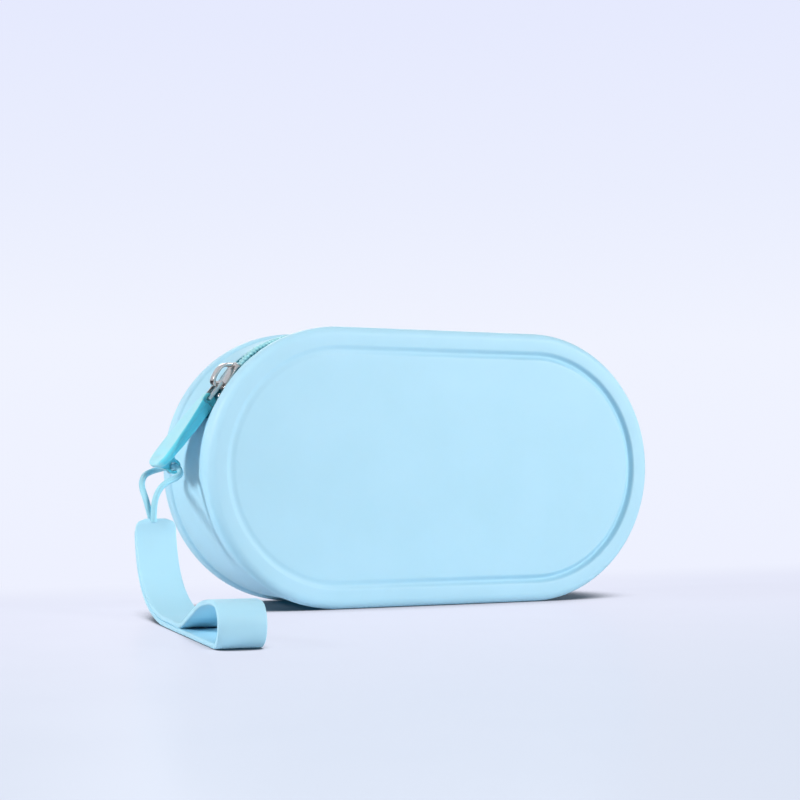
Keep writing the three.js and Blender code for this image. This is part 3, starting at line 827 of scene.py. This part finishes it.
TAB_WIDTHS = [
    (4.8, 1.5), (5.6, 1.8), (7.7, 1.8), (8.4, 2.9), (12.6, 4.3), (17.0, 5.6), (21.0, 6.3), (25.0, 7.0),
    (28.0, 7.2), (30.0, 7.2), (31.6, 6.8), (32.9, 5.8), (33.8, 4.4), (34.2, 3.0),
]
PARTING_LINE = 0.1
TAB_STEPS = 90
TAB_END_ROUND = 1.2
TAB_EDGE_ROUNDS = (0.45, 1.1)
TAB_BACKING = (1.8, 1.3)
DIMPLE_AT = 30.4
DIMPLE_HALF = (1.9, 4.6)
DIMPLE_DEPTH = 0.4
EYE_ROUND = 0.45
EYE_SLANT = 0.13
BORE_HALF = 14.0


def tab_half_width(x):
    for (x0, w0), (x1, w1) in zip(TAB_WIDTHS, TAB_WIDTHS[1:]):
        if x <= x1:
            return mix(w0, w1, (x - x0) / (x1 - x0))
    return TAB_WIDTHS[-1][1]


def tab_point(x, y, z):
    """From the tab's own frame: x away from the pivot, y across, z towards the pouch."""
    c, s = math.cos(SLOPE), math.sin(SLOPE)
    return place(PIVOT[0] - x * c + z * s, y, PIVOT[2] - x * s - z * c)


def tab_section(half, thick, round_edge):
    """Rounded oblong with a fine raised line half way up its edges."""
    round_edge = min(round_edge, half * 0.8, thick * 0.9)
    quarter = []
    for i in range(7):
        angle = math.radians(90 * i / 6)
        across = half - round_edge + round_edge * math.sin(angle)
        quarter.append((across, thick - round_edge * (1 - math.cos(angle))))
    quarter.append((half, 0.07 * thick))
    quarter.append((half + PARTING_LINE, 0.04 * thick))
    right = quarter + [(y, -z) for y, z in reversed(quarter)]
    flat_steps = [half * k / 6 for k in range(-5, 6)]
    top = [(y * (half - round_edge) / half, thick) for y in flat_steps]
    return top + right + [(-y, -z) for y, z in top] + [(-y, -z) for y, z in right]


def combine(obj, tool, operation):
    """Applies one solid to another and drops the tool."""
    cut = obj.modifiers.new("combine", "BOOLEAN")
    cut.operation = operation
    cut.object = tool
    cut.solver = "EXACT"
    bpy.context.view_layer.update()
    shaped = bpy.data.meshes.new_from_object(obj.evaluated_get(bpy.context.evaluated_depsgraph_get()))
    obj.modifiers.clear()
    obj.data = shaped
    bpy.data.objects.remove(tool)


def tab_eye():
    """Eye on the back of the paddle: a round end on a foot that spreads into the paddle."""
    outline = [(EYELET_AT - 3.6, 0.2), (EYELET_AT - 3.1, 1.3)]
    for i in range(17):
        angle = math.radians(mix(200, -20, i / 16))
        x = EYELET_AT + EYE_RADIUS * math.cos(angle)
        outline.append((x, EYELET_BEHIND + EYE_RADIUS * math.sin(angle)))
    outline += [(EYELET_AT + 3.1, 1.3), (EYELET_AT + 3.6, 0.2)]
    half = EYE_WIDTH / 2
    core = EYELET_BEHIND * 0.7
    layers = [(-half, EYE_ROUND), (-half + EYE_SLANT, EYE_SLANT), (-half + EYE_ROUND, 0.0)]
    layers += [(-y, inset) for y, inset in reversed(layers)]
    rings = []
    for y, inset in layers:
        ring = []
        for x, z in outline:
            away = Vector((x - EYELET_AT, z - core))
            away *= 1 - inset / away.length
            ring.append(tab_point(EYELET_AT + away.x, y, core + away.y))
        rings.append(ring)
    return add_mesh("eye", flatten(rings), loft(rings))


def make_tab():
    rings = []
    for i in range(TAB_STEPS + 1):
        x = TAB_TOP + (TAB_END - TAB_TOP) * i / TAB_STEPS
        half = tab_half_width(x)
        share = (x - TAB_TOP) / (TAB_END - TAB_TOP)
        near_end = clamp(min(x - TAB_TOP, TAB_END - x) / TAB_END_ROUND)
        round_end = math.sqrt(max(0.12, 1 - (1 - near_end) ** 2))
        thick = TAB_THICKNESS / 2 * mix(1.0, TAB_END_SHARE, share) * round_end
        round_edge = mix(*TAB_EDGE_ROUNDS, smoothstep(share, 0.35, 0.9))
        ring = []
        for y, z in tab_section(half, thick, round_edge):
            # Shallow finger dimple on the outer face of the paddle
            reach = math.hypot((x - DIMPLE_AT) / DIMPLE_HALF[0], y / DIMPLE_HALF[1])
            if z < 0 and reach < 1:
                z += DIMPLE_DEPTH * (1 - reach * reach) ** 2 * clamp(-z / thick)
            # The rear side is thicker than the outer face
            if z > 0:
                z *= mix(*TAB_BACKING, share)
            ring.append(tab_point(x, y, z))
        rings.append(ring)
    obj = add_mesh("pull_tab_moulding", flatten(rings), loft(rings))
    combine(obj, tab_eye(), "UNION")
    for x, z, radius in ((LINK_HOLE, 0.0, LINK_HOLE_RADIUS), (EYELET_AT, EYELET_BEHIND, EYELET_RADIUS)):
        line = [tab_point(x, y, z) for y in (-BORE_HALF, BORE_HALF)]
        bore_rings = tube_rings(line, radius * MM, 24)
        combine(obj, add_mesh("bore", flatten(bore_rings), loft(bore_rings)), "DIFFERENCE")
    obj.data.polygons.foreach_set("use_smooth", [True] * len(obj.data.polygons))
    obj.data.set_sharp_from_angle(angle=math.radians(35))
    dress(obj, TAB_SILICONE, "tab_silicone", "pull", "pull_tab")


make_tab()


# Wrist strap: one band doubled back on itself, both ends meeting at the head

STRAP_FALL = [
    (0, 0), (0.8, -5), (3.2, -10.5), (7.4, -15.5), (14, -20), (25, -24), (38, -26), (54, -26.3),
]
STRAP_LIFT = [(66, -24.8), (78, -21.2), (91, -17.2), (102, -15.8)]
FOLD_END = 113.0
FOLD_HEIGHT = 12.0
STRAP_FLOOR = -STRAP_HEAD[2]
STRAP_SPANS = 300
STRAP_EDGE = 0.45
STRAP_CORNER = 3.0
STRAP_SLACK = 0.04


def strap_point(along, across, up):
    """From the strap's own frame, which starts at its head and points along the strap."""
    heading = math.radians(STRAP_HEADING)
    x = along * math.cos(heading) - across * math.sin(heading)
    y = along * math.sin(heading) + across * math.cos(heading)
    return place(STRAP_HEAD[0] + x, STRAP_HEAD[1] + y, STRAP_HEAD[2] + up)


def band_normal(line, i):
    along = direction_at(line, i)
    return Vector((-along.z, 0.0, along.x))


def band_line():
    """Middle line of the band, seen from the side: down the upper layer, round the fold, back below."""
    half = STRAP_LAYER / 2
    fall = catmull([(x, 0.0, z) for x, z in STRAP_FALL], 8)
    upper = []
    lower = []
    for i, p in enumerate(fall):
        normal = band_normal(fall, i)
        high = p + normal * half
        low = p - normal * half
        low.z = max(low.z, STRAP_FLOOR + half)
        high.z = max(high.z, low.z + STRAP_LAYER)
        upper.append(high)
        lower.append(low)
    top = STRAP_FLOOR + FOLD_HEIGHT - half
    bottom = STRAP_FLOOR + half
    middle = (top + bottom) / 2
    bend = (top - bottom) / 2
    fold_start = FOLD_END - half - bend
    lift = [upper[-1]] + [Vector((x, 0.0, z - half)) for x, z in STRAP_LIFT]
    lift.append(Vector((fold_start - 1.0, 0.0, top)))
    line = upper[:-1] + catmull(lift, 8)
    for i in range(1, 13):
        angle = math.radians(90 - 180 * i / 12)
        line.append(Vector((fold_start + bend * math.cos(angle), 0.0, middle + bend * math.sin(angle))))
    for i in range(1, 15):
        line.append(Vector((mix(fold_start, lower[-1].x, i / 15), 0.0, bottom)))
    return line + list(reversed(lower))


def make_strap():
    line = even_points(band_line(), STRAP_SPANS)
    total = line_length(line)
    half_thick = STRAP_LAYER / 2 - STRAP_SLACK
    rings = []
    run = 0.0
    for i, p in enumerate(line):
        if i:
            run += (p - line[i - 1]).length
        normal = band_normal(line, i)
        from_end = min(run, total - run)
        trim = 0.0
        if from_end < STRAP_CORNER:
            trim = STRAP_CORNER - math.sqrt(max(0.0, STRAP_CORNER ** 2 - (STRAP_CORNER - from_end) ** 2))
        half = STRAP_WIDTH / 2 - trim
        thick = half_thick * math.sqrt(clamp(from_end / 0.5, 0.15, 1.0))
        drop = min(STRAP_EDGE, thick)
        steps = []
        for k in range(5):
            angle = math.radians(90 * k / 4)
            across = half - STRAP_EDGE + STRAP_EDGE * math.sin(angle)
            steps.append((across, thick - drop * (1 - math.cos(angle))))
        corners = steps + [(w, -t) for w, t in reversed(steps)]
        ring = []
        for sign in (1, -1):
            ring += [(sign * w, sign * t) for w, t in corners]
            ring += [(sign * half * share, -sign * thick) for share in (0.5, 0.0, -0.5)]
        rings.append([strap_point(p.x + normal.x * t, w, p.z + normal.z * t) for w, t in ring])
    obj = add_mesh("wrist_strap_band", flatten(rings), loft(rings), 60)
    dress(obj, STRAP_SILICONE, "strap_silicone", "lanyard", "wrist_strap")


make_strap()


# Floor and backdrop, in metres

FLOOR_BACK = 0.132
FLOOR_SPAN = 2.0
HAZE_FROM = 0.03
FRONT_SPAN = (-0.30, 0.0)
# Painted shadow on the floor where things touch it: how far the occlusion looks, the span it is spread over
# and its dark teal tone.
PAINTED_SHADOW_REACH = 0.05
PAINTED_SHADOW_SPAN = (0.3, 0.66)
PAINTED_CONTACT_SHADOW = linear(10, 44, 62)
SHOWN_SHARE = 0.86
BACKDROP_TONE = linear(238, 241, 255)


def mix_shaders(nodes, links, share, first, second):
    blend = nodes.new("ShaderNodeMixShader")
    feed(links, blend.inputs[0], share)
    links.new(first, blend.inputs[1])
    links.new(second, blend.inputs[2])
    return blend.outputs[0]


def ray_mix(nodes, links, ray, shader_else, shader_ray):
    path = nodes.new("ShaderNodeLightPath")
    return mix_shaders(nodes, links, path.outputs[ray], shader_else, shader_ray)


def floor_material():
    """Pale glossy surface that meets the backdrop softly, with a painted dark teal shadow where things
    touch it.
    """
    material, nodes, links, shader = node_material("glossy_floor")
    coords = nodes.new("ShaderNodeTexCoord").outputs["Object"]
    split = nodes.new("ShaderNodeSeparateXYZ")
    links.new(coords, split.inputs["Vector"])

    def along_depth(*span):
        return map_range(nodes, links, split.outputs["Y"], span, kind="SMOOTHSTEP")

    depth = along_depth(*FRONT_SPAN)
    front = two_tone(nodes, links, depth, linear(223, 231, 248), linear(234, 237, 255))
    plain = two_tone(nodes, links, depth, linear(222, 226, 234), linear(228, 230, 238))
    links.new(plain, shader.inputs["Base Color"])
    mottle = noise(nodes, links, coords, 30.0)
    links.new(vary(nodes, links, mottle, 0.2, 0.26), shader.inputs["Roughness"])
    shader.inputs["Specular IOR Level"].default_value = 0.5
    # Ambient occlusion mixes in a dark teal for the camera: painted shadow under and beside the pouch and
    # strap.
    painted_shadow_ao = nodes.new("ShaderNodeAmbientOcclusion")
    painted_shadow_ao.inputs["Distance"].default_value = PAINTED_SHADOW_REACH
    open_share = map_range(nodes, links, painted_shadow_ao.outputs["AO"], PAINTED_SHADOW_SPAN, kind="SMOOTHSTEP")
    shown = nodes.new("ShaderNodeEmission")
    links.new(two_tone(nodes, links, open_share, PAINTED_CONTACT_SHADOW, front), shown.inputs["Color"])
    far = nodes.new("ShaderNodeEmission")
    far.inputs["Color"].default_value = BACKDROP_TONE
    lit = mix_shaders(nodes, links, SHOWN_SHARE, shader.outputs["BSDF"], shown.outputs["Emission"])
    seen = mix_shaders(nodes, links, along_depth(HAZE_FROM, FLOOR_BACK), lit, far.outputs["Emission"])
    result = ray_mix(nodes, links, "Is Camera Ray", shader.outputs["BSDF"], seen)
    links.new(result, nodes["Material Output"].inputs["Surface"])
    return material


floor_corners = [
    (-FLOOR_SPAN, -FLOOR_SPAN, 0.0), (FLOOR_SPAN, -FLOOR_SPAN, 0.0),
    (FLOOR_SPAN, FLOOR_BACK, 0.0), (-FLOOR_SPAN, FLOOR_BACK, 0.0),
]
floor = add_mesh("floor", floor_corners, [(0, 1, 2, 3)])
floor.data.materials.append(floor_material())


# Lamps and surroundings

POUCH_MIDDLE = place(-20, 0, 45)
HORIZON_SPAN = (-0.3, 0.3)
SHOWN_STOPS = [
    (0.40, BACKDROP_TONE),
    (0.62, linear(240, 243, 255)),
    (0.76, linear(234, 238, 254)),
    (0.92, linear(230, 234, 254)),
]
FILL_STOPS = [(0.3, linear(180, 198, 214)), (0.55, linear(192, 208, 224)), (0.9, linear(222, 232, 242))]
FILL_STRENGTH = 0.19
SHINE_STOPS = [
    (0.25, linear(110, 114, 120)),
    (0.44, linear(24, 24, 30)),
    (0.55, linear(44, 44, 52)),
    (0.68, linear(226, 230, 238)),
]


def add_area(name, direction, distance, size, watts):
    data = bpy.data.lights.new(name, "AREA")
    data.shape = "DISK"
    data.size = size
    data.energy = watts
    lamp = add_object(name, data)
    toward = Vector(direction).normalized()
    lamp.location = POUCH_MIDDLE + toward * distance
    lamp.rotation_euler = toward.to_track_quat("Z", "Y").to_euler()


add_area("key", (-0.9, 0.06, 0.43), distance=1.2, size=0.26, watts=10.2)
add_area("front_fill", (0.5, -0.78, 0.38), distance=1.6, size=0.6, watts=18.4)
add_area("rear_fill", (0.35, 0.85, 0.4), distance=1.6, size=0.8, watts=4.5)


def surroundings():
    """Backdrop for the camera, soft fill for the light, and a dark band that the metal mirrors."""
    world = bpy.data.worlds.new("surroundings")
    scene.world = world
    world.use_nodes = True
    nodes = world.node_tree.nodes
    links = world.node_tree.links
    nodes.clear()
    output = nodes.new("ShaderNodeOutputWorld")
    coords = nodes.new("ShaderNodeTexCoord").outputs["Generated"]
    split = nodes.new("ShaderNodeSeparateXYZ")
    links.new(coords, split.inputs["Vector"])

    def ramp(stops):
        node = nodes.new("ShaderNodeValToRGB")
        links.new(map_range(nodes, links, split.outputs["Z"], HORIZON_SPAN), node.inputs["Fac"])
        elements = node.color_ramp.elements
        while len(elements) < len(stops):
            elements.new(0.5)
        for element, (where, colour) in zip(elements, stops):
            element.position = where
            element.color = colour
        shader = nodes.new("ShaderNodeBackground")
        links.new(node.outputs["Color"], shader.inputs["Color"])
        return shader

    shown = ramp(SHOWN_STOPS)
    fill = ramp(FILL_STOPS)
    fill.inputs["Strength"].default_value = FILL_STRENGTH
    shine = ramp(SHINE_STOPS)
    lit = ray_mix(nodes, links, "Is Glossy Ray", fill.outputs[0], shine.outputs[0])
    links.new(ray_mix(nodes, links, "Is Camera Ray", lit, shown.outputs[0]), output.inputs["Surface"])


surroundings()

scene.view_settings.view_transform = "Standard"
scene.view_settings.look = "None"
scene.view_settings.exposure = 0.0
scene.view_settings.gamma = 1.0
